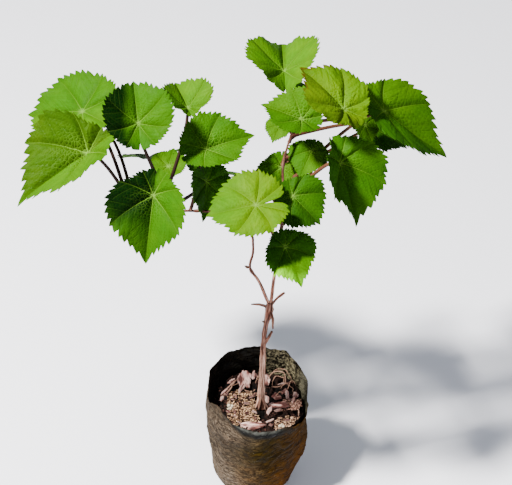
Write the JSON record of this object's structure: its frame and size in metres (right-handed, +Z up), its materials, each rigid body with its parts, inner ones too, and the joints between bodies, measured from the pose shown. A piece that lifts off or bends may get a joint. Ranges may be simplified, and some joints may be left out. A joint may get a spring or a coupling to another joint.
{
  "type": "potted grapevine",
  "caption": "Young grapevine: a woody cutting with leafy shoots, standing in a black film nursery bag of potting mix.",
  "frame": {"origin": "centre of the flat underside of the nursery bag", "axes": "+Z up the stem; -Y is the front, the side the picture was taken from; +X is the viewer's right"},
  "size_m": [0.4138, 0.2375, 0.4728],
  "materials": {
    "bag_film": "satin",
    "potting_mix": "matte",
    "bark_flakes": "matte",
    "stem_bark": "matte",
    "leaves": "satin"
  },
  "bodies": {
    "root": {"nursery_bag": "bag_film", "potting_mix": "potting_mix", "bark_flake_back_left": "bark_flakes", "bark_flake_left": "bark_flakes", "bark_flake_front": "bark_flakes", "bark_flake_right": "bark_flakes", "bark_flake_far_right": "bark_flakes", "bark_flake_behind_stem": "bark_flakes", "bark_curl_back": "bark_flakes", "trunk": "stem_bark", "lower_spur": "stem_bark", "left_stub": "stem_bark", "right_stub": "stem_bark", "hanging_stub": "stem_bark", "left_shoot_lower": "stem_bark", "left_shoot_upper": "stem_bark", "right_shoot_lower": "stem_bark", "right_shoot_upper": "stem_bark", "leaves_left_tip": "leaves", "leaves_left_upright": "leaves", "leaves_left_rear": "leaves", "leaves_left_front": "leaves", "leaves_left_inner": "leaves", "leaves_centre_front": "leaves", "leaves_centre": "leaves", "leaves_centre_rear": "leaves", "leaves_right_front": "leaves", "leaves_right_tip": "leaves", "leaves_crown_middle": "leaves", "leaves_crown_top": "leaves", "leaves_crown_rear": "leaves"}
  },
  "joints": []
}
